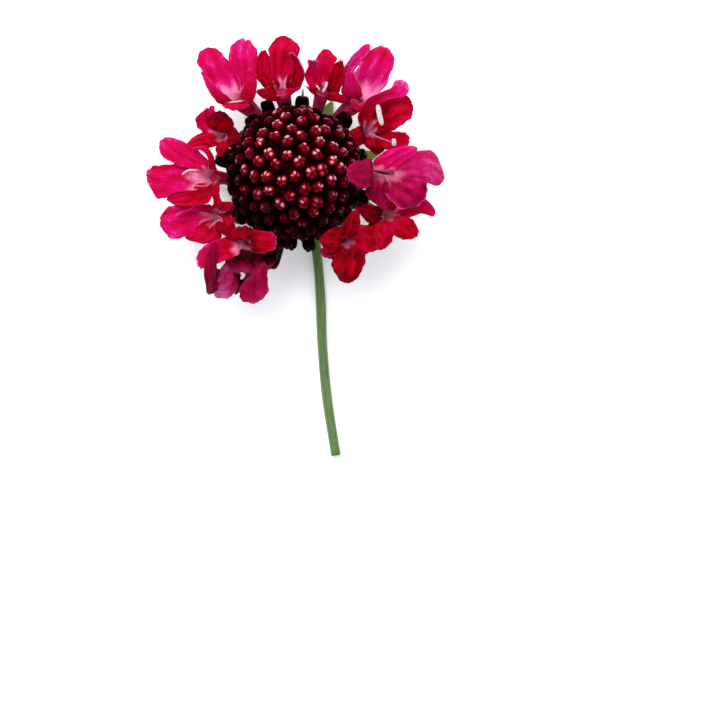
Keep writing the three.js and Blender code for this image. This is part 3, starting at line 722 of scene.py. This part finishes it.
def lobe_grid(lobe, rows, arc, draw):
    """Rows of points from an arc of the throat's rim to the tip of a lobe, and its point values."""
    v = np.linspace(0, 1, LOBE_ROWS + 1)
    stations = through(rows, v)
    left, right, bulge = stations[:, :3], stations[:, 3:6], stations[:, 6:]
    centre, half = (left + right) / 2, (left - right) / 2
    forward = unit(np.gradient(centre, axis=0))
    normal = unit(np.cross(forward, half))
    width = np.linalg.norm(half, axis=1)[:, None]
    v2, a2 = v[:, None], np.linspace(-1, 1, LOBE_COLUMNS + 1)[None, :]

    # The outline: a frilled margin, and teeth and a notch at the rounded tip.
    phase = draw.uniform(0, FULL_TURN, 9)
    frill = 1 + np.abs(a2) ** 4 * (0.04 * np.sin(11 * v2 + phase[0] + a2) + 0.03 * np.sin(26 * v2 + phase[1]))
    broaden = 1 + BASE_OVERLAP * smoothstep(0.75, 0.1, v2) / np.maximum(width, 0.5)
    end = smoothstep(0.55, 1, v2)
    teeth = lobe.teeth * (0.07 * np.sin(8 * a2 + phase[2]) + 0.05 * np.sin(17 * a2 + phase[3]))
    notch = lobe.notch * bump(a2, draw.uniform(-0.15, 0.15), 0.16)
    advance = (lobe.tip / 100 + 0.42) * (1 - a2**2) * end + (teeth - notch) * smoothstep(0.8, 1, v2)

    # The relief: a middle furrow, broad waves, folds near the margin and small creases.
    swell = 0.05 * width * np.cos(3.1 * np.pi * a2 + phase[4]) * np.sin(np.pi * np.minimum(v2, 0.9))
    folds = (0.06 + 0.05 * width) * np.sin(9 * v2 + 1.7 * a2 + phase[5]) * np.abs(a2) ** 2.5 * end
    folds = folds + 0.05 * width * np.sin(6 * v2 + 4 * a2 + phase[6]) * np.sin(4 * a2 - 4 * v2 + phase[7])
    folds = folds + 0.025 * width * np.sin(13 * v2 + 3 * a2 + phase[0]) * np.sin(9 * a2 + 5 * v2 + phase[1])
    lift = bulge * (1 - a2**2) - 0.10 * bump(a2, 0, 0.12) * (1 - 0.7 * v2) + swell + folds
    lift = lift + draw.uniform(-0.35, 0.25) * v2**5

    blade = centre[:, None] + along(half, a2 * frill * broaden)
    blade = blade + along(forward, advance) + along(normal, lift)
    flare = arc[None] + (centre - centre[0])[:, None]
    share = smoothstep(0, 0.09, v)[:, None, None]
    first, last = np.array(lobe.tone) / 100
    tone = first + (last - first) * v2**1.3
    # Painted shade: darker along the middle furrow near the throat and in the creases where the lobes join
    # near the base, and FOLD_SHADE paints light on the folds' crests and shade in their hollows.
    tone = tone - 0.07 * bump(a2, 0, 0.10) * (1 - v2) + 0.05 * bump(v2, 1, 0.12)
    tone = tone - 0.30 * np.abs(a2) ** 3 * smoothstep(0.45, 0.0, v2) + FOLD_SHADE * folds
    tone = tone - lobe.dip * bump(v2 + 0.06 * np.sin(3 * a2 + phase[2]), 0.56, 0.17)
    strength, reach = np.array(lobe.pale) / 100
    pale = strength * (1 - smoothstep(0.3 * reach, reach, v2 + 0.05 * np.sin(7 * a2 + phase[8])))
    pale = pale * smoothstep(-1, 0, np.clip(a2 * lobe.lean * 1.6 - 0.1, -1, 0))
    # painted highlight along the margins and at the tip
    rim = lobe.rim * np.maximum(np.abs(a2) ** 9, smoothstep(0.90, 1, v2))
    return flare * (1 - share) + blade * share, dict(tone=tone, pale=pale, rim=rim)


def ray_floret(number, floret):
    """One corolla: a bent tube that opens into a funnel and unequal lobes."""
    draw = np.random.default_rng(SEEDS["floret"] + number)
    throat = np.array(floret.throat) / 10
    azimuth = math.atan2(throat[1], throat[0])
    turn = math.radians(floret.turn)
    foot = on_circle(azimuth + turn, TUBE_FOOT_RADIUS, TUBE_FOOT_HEIGHT)
    bend = on_circle(azimuth + turn / 2, TUBE_FLAT_REACH, TUBE_FOOT_HEIGHT)
    outward = on_circle(azimuth, 1, 0)
    t = np.linspace(0, 1, TUBE_ROWS + 1)[:, None]
    centre, tangent = bezier(foot, bend, throat, t[:, 0])
    side = np.cross(UP, outward)
    out = unit(np.cross(side, tangent))

    # Each lobe owns the sector of the throat between its neighbours' directions.
    mouth_out, mouth_side = MOUTH_FLARE * np.array(floret.mouth)
    rows = [(np.array(lobe.rows) + [*floret.throat, *floret.throat, 0]) / 10 for lobe in floret.lobes]
    offsets = [(base[:3] + base[3:6]) / 2 - throat for base, *_ in rows]
    way = np.array([math.atan2(o @ side / mouth_side, o @ outward / mouth_out) for o in offsets])
    order = np.argsort(way)
    sorted_way = way[order]
    gaps = np.diff(np.append(sorted_way, sorted_way[0] + FULL_TURN))
    ends = sorted_way + gaps / 2
    starts = np.roll(ends, 1)
    starts[0] -= FULL_TURN
    angles = np.concatenate([
        np.linspace(low, high, LOBE_COLUMNS, endpoint=False) for low, high in zip(starts, ends)
    ])
    early = TUBE_FOOT_THICKNESS + 0.25 * t
    ribs = 1 + 0.05 * np.cos(5 * angles + 1) * (0.3 + t)
    reach_out = (early + (mouth_out - early) * t**3) * ribs
    reach_side = (early + (mouth_side - early) * t**3) * ribs
    tube = centre[:, None] + along(out, reach_out * np.cos(angles)) + along(side, reach_side * np.sin(angles))

    mesh = Mesh("tone", "pale", "rim")
    skin = petal_slots[floret.skin]
    around = np.arange(len(angles)) / LOBE_COLUMNS
    mesh.grid(
        tube[:, ::-1], stacked(around, t)[:, ::-1], closed=True, cap_start=True, slot=skin,
        tone=TUBE_TONE, pale=0.6 * smoothstep(0.5, 0.9, t),
    )
    ring = tube[-THROAT_DEPTH if floret.hole else -1]
    inward = np.linspace(0, 1, 7)[:, None]
    middle = ring.mean(axis=0) + 0.25 * tangent[-1]
    pad = middle + (ring - middle) * (0.96 - 0.9 * inward)[..., None]
    # The middle of an open mouth is painted dark: painted shade down the throat.
    opening = floret.hole * smoothstep(0.45, 0.9, inward)
    mesh.grid(
        pad[:, ::-1], stacked(around, 1 - 0.3 * inward)[:, ::-1], closed=True, cap_end=True, slot=skin,
        tone=PAD_TONE * (1 - opening), pale=0.9 * (1 - opening),
    )
    rim_all = np.concatenate([tube[-1], tube[-1][:1]])
    across, onward = np.linspace(0, 1, LOBE_COLUMNS + 1), np.linspace(0, 1, LOBE_ROWS + 1)[:, None]
    for i, which in enumerate(order):
        lobe = floret.lobes[which]
        arc = rim_all[i * LOBE_COLUMNS:(i + 1) * LOBE_COLUMNS + 1]
        grid, values = lobe_grid(lobe, rows[which], arc, draw)
        values = {name: np.broadcast_to(value, grid.shape[:2])[:, ::-1] for name, value in values.items()}
        uv = stacked(i + across, 1 + onward)
        mesh.grid(grid[:, ::-1], uv[:, ::-1], slot=petal_slots[lobe.skin or floret.skin], **values)
    piece = mesh.build(f"ray_floret_{number:02d}_corolla", petal_materials, weld=True)
    thicken(piece, PETAL_THICKNESS)
    settle(piece, "ray_petal", f"ray_floret_{number:02d}")


# ---------- closed buds ----------
BUD_SPOKES = 40
BUD_RINGS = 14
BUD_END_POLAR = 2.15  # radians from the apex to where a knob ends on its neck
WIDEST_POLAR = 1.57


def bud_grid(radius, neck, lobes, groove_depth, draw, waist=0.5, blunt=1.0):
    """A closed bud along +Z: a knob of swollen lobes on a narrower neck, from its apex down."""
    polar = np.linspace(0.04, BUD_END_POLAR, BUD_RINGS)[:, None]
    angle = all_round(BUD_SPOKES)
    phase = draw.uniform(0, FULL_TURN)
    sway = 0.25 * np.sin(angle + draw.uniform(0, FULL_TURN))
    turn = 0.5 * lobes * (angle + sway) / np.pi + phase / np.pi
    lobe = np.abs(np.cos(np.pi * turn)) ** 0.46
    which = np.round(turn).astype(int) % lobes
    size = 1 + 0.08 * np.sin(2 * angle + draw.uniform(0, FULL_TURN))
    reach = radius * np.sin(np.minimum(polar, WIDEST_POLAR)) ** blunt * size
    reach = reach * (1 - 0.7 * groove_depth * (1 - lobe) * smoothstep(0.2, 0.8, polar))
    height = radius * 0.86 * np.cos(polar)
    height = height + radius * (0.10 * lobe - groove_depth * (1 - lobe)) * bump(polar, 0.8, 0.6)
    under = smoothstep(1.55, BUD_END_POLAR, polar)
    reach = reach * (1 - under) + waist * radius * under
    height = height * (1 - under) - neck * under
    # Painted highlight: the lobes that face a side near +Y get lighter crowns, as if lit from there.
    lit_side = np.pi / 2 + draw.normal(0, 0.8)
    facing = np.cos(2 * (np.arange(lobes) * np.pi - phase) / lobes - lit_side)
    shares = np.clip(0.68 + 0.56 * facing + draw.uniform(-0.3, 0.3, lobes), 0.42, 1.25)
    crown = lobe * bump(polar, 0.56, 0.48) * shares[which]
    groove = np.minimum(1, 1.3 * (1 - lobe) ** 0.9) * smoothstep(0.0, 0.25, polar)
    uv = stacked(angle / FULL_TURN, polar / BUD_END_POLAR)
    return turned(reach, angle, height), uv, crown, groove


def aim(points, way, place):
    """Turns points made along +Z towards a direction and moves them to a place."""
    turn = Vector(UP).rotation_difference(Vector(way)).to_matrix()
    return points @ np.array(turn).T + place


DOME_RADIUS = 12.0
DOME_RISE = 10.6
DOME_CENTRE_HEIGHT = 6.3
DISC_BUD_COUNT = 134
DISC_BUD_REACH = math.radians(96)
SHADED_BUD_POLAR = math.radians(50)
DISC_BUD_RADIUS = 1.24
DISC_BUD_NECK = 2.6
DISC_GROOVE_DEPTH = 0.16
FIVE_LOBED_SHARE = 0.75  # of the closed buds; the others have four lobes
PAINTED_LIGHT_TURN = 0.5  # radians clockwise of the top where the dome has painted light: lighter crowns and less painted shade on that side
CORE_DEPTH = 1.5  # of the dark core of the dome below the middles of the buds; its darkness is partly the dark bristles and partly painted shade in the gaps
CORE_END_POLAR = 2.05
CORE_WIDEST_POLAR = 1.6


def disc_buds():
    """The dome of closed buds in golden-angle spirals, on a dark core."""
    draw = np.random.default_rng(SEEDS["disc"])
    mesh = Mesh("crown", "groove", "depth", "tone")
    lowest = 1 - math.cos(DISC_BUD_REACH)
    for i in range(DISC_BUD_COUNT):
        polar = math.acos(1 - lowest * (i + 0.5) / DISC_BUD_COUNT)
        azimuth = GOLDEN_ANGLE * i + draw.normal(0, 0.03)
        polar += draw.normal(0, 0.02)
        outward = on_circle(azimuth, math.sin(polar), math.cos(polar))
        size = DISC_BUD_RADIUS * draw.uniform(0.92, 1.08)
        place = outward * [DOME_RADIUS, DOME_RADIUS, DOME_RISE] + [0, 0, DOME_CENTRE_HEIGHT]
        place = place - outward * 0.1
        lobes = 5 if draw.random() < FIVE_LOBED_SHARE else 4
        points, uv, crown, groove = bud_grid(size, DISC_BUD_NECK, lobes, DISC_GROOVE_DEPTH, draw)
        way = unit(outward + draw.normal(0, 0.08, 3))
        # Painted light and shade: buds darken towards the dome's edge, partly their own dark sides and partly
        # painted shade, less so on the side with painted light, where crowns are lighter too.
        painted_light = math.sin(azimuth + PAINTED_LIGHT_TURN)
        mesh.body(
            aim(points, way, place), uv, crown=crown, groove=groove,
            depth=polar / (math.pi / 2) + draw.normal(0, 0.03) - 0.075 * painted_light + 0.02,
            tone=draw.uniform(0.84, 1.24) * (1 + 0.32 * painted_light * math.sin(polar)),
            slot=int(polar > SHADED_BUD_POLAR),
        )
    t = np.linspace(0.02, 1, 26)[:, None]
    angle = all_round(96)
    polar = t * CORE_END_POLAR
    lump = 1 + 0.02 * np.sin(9 * angle + 7 * polar) * np.sin(11 * polar)
    reach = (DOME_RADIUS - CORE_DEPTH) * np.sin(np.minimum(polar, CORE_WIDEST_POLAR)) * lump
    reach = reach * (1 - 0.5 * smoothstep(CORE_WIDEST_POLAR, CORE_END_POLAR, polar))
    height = DOME_CENTRE_HEIGHT + (DOME_RISE - CORE_DEPTH) * np.cos(polar)
    flecks = np.maximum(0, np.sin(31 * angle + 3 * np.sin(9 * polar)) * np.sin(33 * polar))
    # The core is painted dark, partly the dark bristles between the buds and partly painted shade in the
    # gaps, with dim red flecks.
    mesh.body(
        turned(reach, angle, height), stacked(angle / FULL_TURN, t), slot=1,
        crown=0.8 * flecks, depth=smoothstep(0.5, 1.2, polar) * 0.3 + 0.64, tone=0.6,
    )
    settle(mesh.build("disc_of_closed_buds", [bud_skin, shaded_bud_skin]), "closed_bud", "disc_buds")


RIM_BUD_FOOT = (4.85, 3.2)  # radius and height
RIM_BUD_PITCH = 20
RIM_BUD_NECK = 4.2
RIM_GROOVE_DEPTH = 0.42
RIM_TUBE_RADIUS = 0.5
RIM_TUBE_GAP = 2.6  # from the end of the tube to the middle of the knob, which its neck fills
# Azimuth, length to the tip, and half width of each large dark bud of the lowest row.
RIM_BUDS = [
    (17, 9.6, 1.3), (49, 11, 1.95), (62, 8.6, 1.4), (85, 10.9, 1.5), (112, 11.1, 1.4), (128, 10, 1.5),
    (166, 11.1, 1.8), (190, 8.6, 1.4), (217, 9.9, 1.8), (281, 10.5, 1.3), (296, 10.6, 1.4), (321, 10.6, 1.4),
    (342, 10.4, 1.4),
]
EXTRA_RIM_BUDS = [(98, 9.9, 1.5), (266, 9.9, 1.4)]  # two more than the solids have
OPENING_BUD = (253.9, 13.6, 2.05)
OPENING_BUD_PITCH = 9


def rim_bud(name, azimuth, length, knob, seed, nodes=(), pitch=RIM_BUD_PITCH, skin=rim_skin):
    """A large dark bud of the lowest row: a blunt five-lobed barrel on a long tube."""
    draw = np.random.default_rng(seed)
    azimuth, pitch = math.radians(azimuth), math.radians(pitch)
    way = on_circle(azimuth, math.cos(pitch), math.sin(pitch))
    foot = on_circle(azimuth, *RIM_BUD_FOOT)
    mesh = Mesh("crown", "groove", "depth", "tone")
    points, uv, crown, groove = bud_grid(
        knob, RIM_BUD_NECK, 5, RIM_GROOVE_DEPTH, draw, waist=0.92, blunt=0.5
    )
    points[..., 0] *= draw.uniform(0.86, 1.0)
    middle = foot + way * (length - knob)
    tone = draw.uniform(0.5, 0.9)
    mesh.body(aim(points, way, middle), uv, crown=crown, groove=groove, depth=0.35, tone=tone)
    t = np.linspace(0, 1, 12)[:, None]
    angle = all_round(20)
    reach = (RIM_TUBE_RADIUS + (0.7 * knob - RIM_TUBE_RADIUS) * t**2) * (1 + 0.06 * np.cos(5 * angle))
    tube = turned(reach, angle, t * (length - knob - RIM_TUBE_GAP))
    mesh.body(aim(tube[::-1], way, foot), stacked(angle / FULL_TURN, t), depth=0.6, tone=0.8)
    settle(mesh.build(name, [skin]), "dark_bud", *nodes)


# ---------- stamens that stand out of the open florets ----------
# Finish and half width of the anther, its path, and the path of its filament.
STAMENS = [
    ("cream", 0.32, [(-12.2, 13.3, 8.1), (-11, 13.4, 8.2), (-9.8, 13.6, 8.1)], []),
    ("pale", 0.34, [(3.9, 16, 9.9), (4.3, 15.7, 9.8), (4.5, 15.3, 9.5)],
     [(4.8, 15.1, 8.2), (4.5, 15.3, 9.4)]),
    ("pale", 0.46, [(5.9, 16.6, 10.6), (5.7, 15.8, 10.4), (5.1, 14.7, 9.8)],
     [(5, 15.1, 8.2), (5.2, 15, 9.6)]),
    ("pale", 0.5, [(15.3, 12.1, 11.2), (15.6, 10.1, 11.4), (16.1, 8.2, 11)],
     [(13.5, 7.9, 8), (14.2, 8.5, 9.2), (15.2, 9.2, 10.4), (15.8, 9.4, 11)]),
    ("pale", 0.42, [(18.2, 6, 9.8), (18.3, 5.3, 9.9), (18.3, 4.6, 9.7)],
     [(13.7, 7.4, 7.8), (15.2, 6.6, 8.8), (16.6, 5.9, 9.4), (18.1, 5.3, 9.7)]),
    ("pale", 0.4, [(-10, -18.5, 6.6), (-9.4, -19, 6.8), (-10, -19.7, 6.5)],
     [(-9.9, -18.6, 3.6), (-10, -19, 6)]),
    ("pink", 0.3, [(-15.7, -10.7, 9.4), (-14.8, -9.9, 9.8), (-13.8, -9.3, 9.9), (-13.1, -9.6, 9.5)],
     [(-14.4, -7.9, 7), (-13.4, -8.9, 8.8), (-13.8, -9.3, 9.7)]),
    ("pale", 0.34, [(-20.6, -1.1, 11.2), (-19.9, -0.6, 11.5), (-19.1, -0.3, 11.6), (-17.8, -0.3, 11.3)],
     [(-15.1, -2.1, 9.6), (-16.2, -3, 10.5), (-17.7, -3.1, 11), (-18.6, -2.4, 11.3), (-19, -1.4, 11.5),
      (-19, -0.4, 11.5)]),
]
ANTHER_FLATNESS = 0.62  # its height over its width
ANTHER_FURROW = 0.35  # depth of the furrow along it
ANTHER_BLUNTNESS = 5
FILAMENT_BLUNTNESS = 40
FILAMENT_RADIUS = 0.15
STAMEN_SKINS = {
    "cream": anther_material("lip_fold", seen(252, 226, 206), seen(240, 176, 180)),
    "pale": anther_material("anther", seen(250, 232, 238), seen(226, 160, 190)),
    "pink": anther_material("young_anther", seen(236, 120, 170), seen(206, 60, 120)),
}
filament_skin = anther_material("filament", seen(232, 110, 164), seen(196, 40, 104))


def rope(path, width, height, blunt, furrow=0.0):
    """A rounded body along a path, with its UV. blunt says how suddenly its ends close."""
    t = (1 - np.cos(np.linspace(0.04, np.pi - 0.04, 25)[:, None])) / 2
    route = through(path, t[:, 0])
    sides, ups = carried_frames(route)
    angle = all_round(20)
    end = np.sqrt(1 - np.abs(2 * t - 1) ** blunt)
    across = width * end * np.cos(angle)
    upward = height * end * np.sin(angle) * (1 - furrow * bump(np.cos(angle), 0, 0.3))
    return route[:, None] + along(sides, across) + along(ups, upward), stacked(angle / FULL_TURN, t)


def stamen(number, finish, width, anther, filament):
    mesh = Mesh()
    mesh.body(*rope(anther, width, ANTHER_FLATNESS * width, ANTHER_BLUNTNESS, ANTHER_FURROW))
    if filament:
        mesh.body(*rope(filament, FILAMENT_RADIUS, FILAMENT_RADIUS, FILAMENT_BLUNTNESS), slot=1)
    settle(mesh.build(f"stamen_{number:02d}", [STAMEN_SKINS[finish], filament_skin]), "ray_petal")


# ---------- bracts and stem ----------
BRACT_ROWS = 40
BRACT_COLUMNS = 15
BRACT_FOOT_RADIUS = 2.5
BRACT_BEND_SHARE = 0.52  # of the reach, where the blade's bend is
BRACT_BEND_DROP = 0.6  # from the foot to the bend
BRACT_TIP_LIFT = 0.2  # of every tip above its height in the table
BRACT_THICKNESS = 0.24
BRACT_LOWEST = 0.12  # of the middle of a blade above the surface
# Azimuth, reach, width and the height of its tip, and from 0 to 1 how much paler the blade is painted,
# painted light on a bract that lies in shade.
BRACTS = [
    (20, 17.6, 4.0, 5.6, 1), (67.5, 17.8, 5.4, 0.3), (86, 17.7, 2.0, 6.4, 0.8), (128, 16.6, 3.1, 0),
    (177, 17.2, 2.6, 0), (208, 15.0, 3.0, 0), (246, 17, 3.0, 0), (318, 16.2, 3.2, 0), (345, 15.6, 2.6, 0),
]


def leaned(points):
    """Points of the head's own frame as they lie above the foot of its axis."""
    return points @ np.array(HEAD_TURN.to_3x3()).T + [0, 0, HEAD_BASE_HEIGHT]


def bract(number, azimuth, reach, width, tip_height, lit_paleness=0.0):
    """A leafy bract with a sunken midrib, toothed margins and a fine point."""
    draw = np.random.default_rng(SEEDS["bract"] + number)
    azimuth = math.radians(azimuth)
    outward = on_circle(azimuth, 1, 0)
    left = np.cross(UP, outward)
    foot = leaned(on_circle(azimuth, BRACT_FOOT_RADIUS, 0))
    tip = outward * reach + UP * (tip_height + BRACT_TIP_LIFT)
    bend = outward * reach * BRACT_BEND_SHARE + UP * (foot[2] - BRACT_BEND_DROP)
    v, a = np.linspace(0, 1, BRACT_ROWS)[:, None], np.linspace(-1, 1, BRACT_COLUMNS)[None, :]
    centre, tangent = bezier(foot, bend, tip, v[:, 0])
    normal = unit(np.cross(tangent, left))
    outline = np.maximum(0.05, np.sin(np.pi * (0.14 + 0.86 * v) ** 1.15))
    phase = draw.uniform(0, 6.28, 3)
    teeth = 1 + 0.05 * np.sin(30 * v + phase[0]) + 0.03 * np.sin(61 * v + phase[1])
    half = 0.5 * width * outline * np.where(np.abs(a) > 0.9, teeth, 1)
    lift = 0.14 * half * np.abs(a) ** 1.4 - 0.12 * bump(a, 0, 0.16) * (1 - v)
    lift = lift + 0.10 * np.sin(7 * v + phase[2]) * a * v
    points = centre[:, None] + along(left, a * half) + along(normal, lift)
    points[..., 2] = np.maximum(points[..., 2], BRACT_LOWEST)
    mesh = Mesh("margin")
    # The last value paints the whole blade towards the pale margin colour: painted light.
    margin = np.maximum(np.maximum(a**2, smoothstep(0.9, 1.0, v)), lit_paleness)
    mesh.grid(points, stacked((a + 1) / 2, v), margin=margin)
    piece = mesh.build(f"bract_{number:02d}_blade", [bract_skin, bract_skin], FLAT_TO_ROW, weld=True)
    thicken(piece, BRACT_THICKNESS)
    settle(piece, "bract", f"bract_{number:02d}")


STEM_RADIUS = 0.95
STEM_RINGS = 113
STEM_SPOKES = 48
STEM_ROUTE = [
    (0, 0, HEAD_BASE_HEIGHT + 1), (0.2, -0.6, HEAD_BASE_HEIGHT - 1.9), (1.1, -3.1, 2.4), (2.5, -7.4, 1.15),
    (3.7, -13, STEM_RADIUS), (4.4, -21, STEM_RADIUS), (4.8, -31, STEM_RADIUS), (5.7, -41, STEM_RADIUS),
    (7.4, -52, STEM_RADIUS),
]
# Radius and height of the receptacle, the swollen end of the stem, in the head's own frame.
RECEPTACLE = [(0.0, 0.0), (1.3, 0.0), (3.1, 0.8), (4.4, 2.4), (4.6, 4.6), (3.5, 7.1), (0.0, 8.3)]


def stem():
    """The ribbed stem with its neck and the receptacle."""
    t = np.linspace(0, 1, STEM_RINGS)[:, None]
    route = through(STEM_ROUTE, t[:, 0])
    sides, ups = carried_frames(route)
    angle = all_round(STEM_SPOKES)
    ribs = 1 - 0.07 * (1 - np.abs(np.cos(4 * angle + 2.0 * t))) + 0.02 * np.sin(31 * t)
    reach = STEM_RADIUS * 0.98 * ribs
    rod = route[:, None] + along(sides, reach * np.cos(angle)) + along(ups, reach * np.sin(angle))
    mesh = Mesh("margin")
    mesh.body(rod, stacked(angle / FULL_TURN, t * 6))
    t = np.linspace(0, 1, 37)[:, None]
    profile = through(RECEPTACLE, t[:, 0])
    angle = all_round(64)
    pits = 1 + 0.02 * np.sin(13 * angle) * np.sin(20 * t)
    cup = leaned(turned(np.maximum(profile[:, :1], 0.02) * pits, angle, profile[:, 1:]))
    mesh.body(cup, stacked(angle / FULL_TURN, t), margin=0.3)
    settle(mesh.build("stem_and_receptacle", [stem_skin], FLAT_TO_ROW), "stem", "stem")


for index, floret in enumerate(RAY_FLORETS, 1):
    ray_floret(index, floret)
disc_buds()
for index, values in enumerate(RIM_BUDS, 1):
    name = f"rim_bud_{index:02d}"
    rim_bud(f"{name}_knob", *values, SEEDS["rim"] + index, nodes=[name])
for index, values in enumerate(EXTRA_RIM_BUDS, 1):
    rim_bud(f"rim_bud_extra_{index}", *values, SEEDS["extra_rim"] + index)
rim_bud(
    "opening_bud_knob", *OPENING_BUD, SEEDS["opening"], nodes=["opening_bud"],
    pitch=OPENING_BUD_PITCH, skin=opening_skin,
)
for index, values in enumerate(STAMENS, 1):
    stamen(index, *values)
for index, values in enumerate(BRACTS, 1):
    bract(index, *values)
stem()

# ---------- stage, light and camera ----------
PHOTO_PIXELS = 720
PHOTO_MM_PER_PIXEL = 0.185
PHOTO_HEAD_PIXEL = (295, 178)  # where the head's axis is
RING_HEIGHT = 15  # of the open florets above the surface
CAMERA_DISTANCE = 350
SENSOR_WIDTH = 36
FLOOR_REACH = 3.0  # metres
ROOM_COLOUR = (0.93, 0.96, 1.0)
ROOM_LIGHT = 0.80
# Place and width in metres, power in watts, and colour of each lamp.
LAMPS = {
    "key": ((-0.16, 0.50, 0.80), 0.8, 11.0, (1.0, 0.99, 0.97)),
    "fill": ((0.45, -0.35, 0.75), 0.9, 1.4, (0.95, 0.98, 1.0)),
}


def floor():
    """A plain pale surface, finely grained so that it isn't perfectly flat white."""
    shader = Shader("pale_surface")
    grain = shader.grain(0.08, 5)
    shader.finish(
        Base_Color=shader.ramp(grain, (0.3, (0.92, 0.93, 0.945)), (0.7, (0.94, 0.95, 0.96))),
        Roughness=0.7,
        Specular_IOR_Level=0.2,
        Normal=shader.bump(grain, 0.1, 0.1),
        Emission_Color=ROOM_COLOUR,
        Emission_Strength=0.14,
    )
    data = bpy.data.meshes.new("surface")
    corners = [(x * FLOOR_REACH, y * FLOOR_REACH, 0) for x, y in ((-1, -1), (1, -1), (1, 1), (-1, 1))]
    data.from_pydata(corners, [], [(0, 1, 2, 3)])
    data.materials.append(shader.material)
    new_object("surface", data)


def light():
    """A broad key light from the top left, a weak fill and a soft room."""
    target = Vector((*AXIS_FOOT, RING_HEIGHT)) * MM
    for name, (place, width, watts, colour) in LAMPS.items():
        data = bpy.data.lights.new(name, "AREA")
        data.size, data.energy, data.color = width, watts, colour
        lamp = new_object(name, data)
        lamp.location = place
        lamp.rotation_euler = (target - Vector(place)).to_track_quat("-Z", "Y").to_euler()
    world = bpy.data.worlds.new("soft_room")
    world.use_nodes = True
    background = world.node_tree.nodes["Background"].inputs
    background["Color"].default_value = (*ROOM_COLOUR, 1)
    background["Strength"].default_value = ROOM_LIGHT
    bpy.context.scene.world = world
    bpy.context.scene.view_settings.view_transform = "Standard"


def camera():
    """Straight above the middle of the photograph's frame, so the head lies where it does there."""
    data = bpy.data.cameras.new("camera")
    data.sensor_width = SENSOR_WIDTH
    data.lens = SENSOR_WIDTH * CAMERA_DISTANCE / (PHOTO_PIXELS * PHOTO_MM_PER_PIXEL)
    data.clip_start, data.clip_end = 0.01, 10
    viewer = new_object("camera", data)
    middle = PHOTO_PIXELS / 2
    x = AXIS_FOOT[0] + (middle - PHOTO_HEAD_PIXEL[0]) * PHOTO_MM_PER_PIXEL
    y = AXIS_FOOT[1] - (middle - PHOTO_HEAD_PIXEL[1]) * PHOTO_MM_PER_PIXEL
    viewer.location = Vector((x, y, RING_HEIGHT + CAMERA_DISTANCE)) * MM
    bpy.context.scene.camera = viewer


floor()
light()
camera()
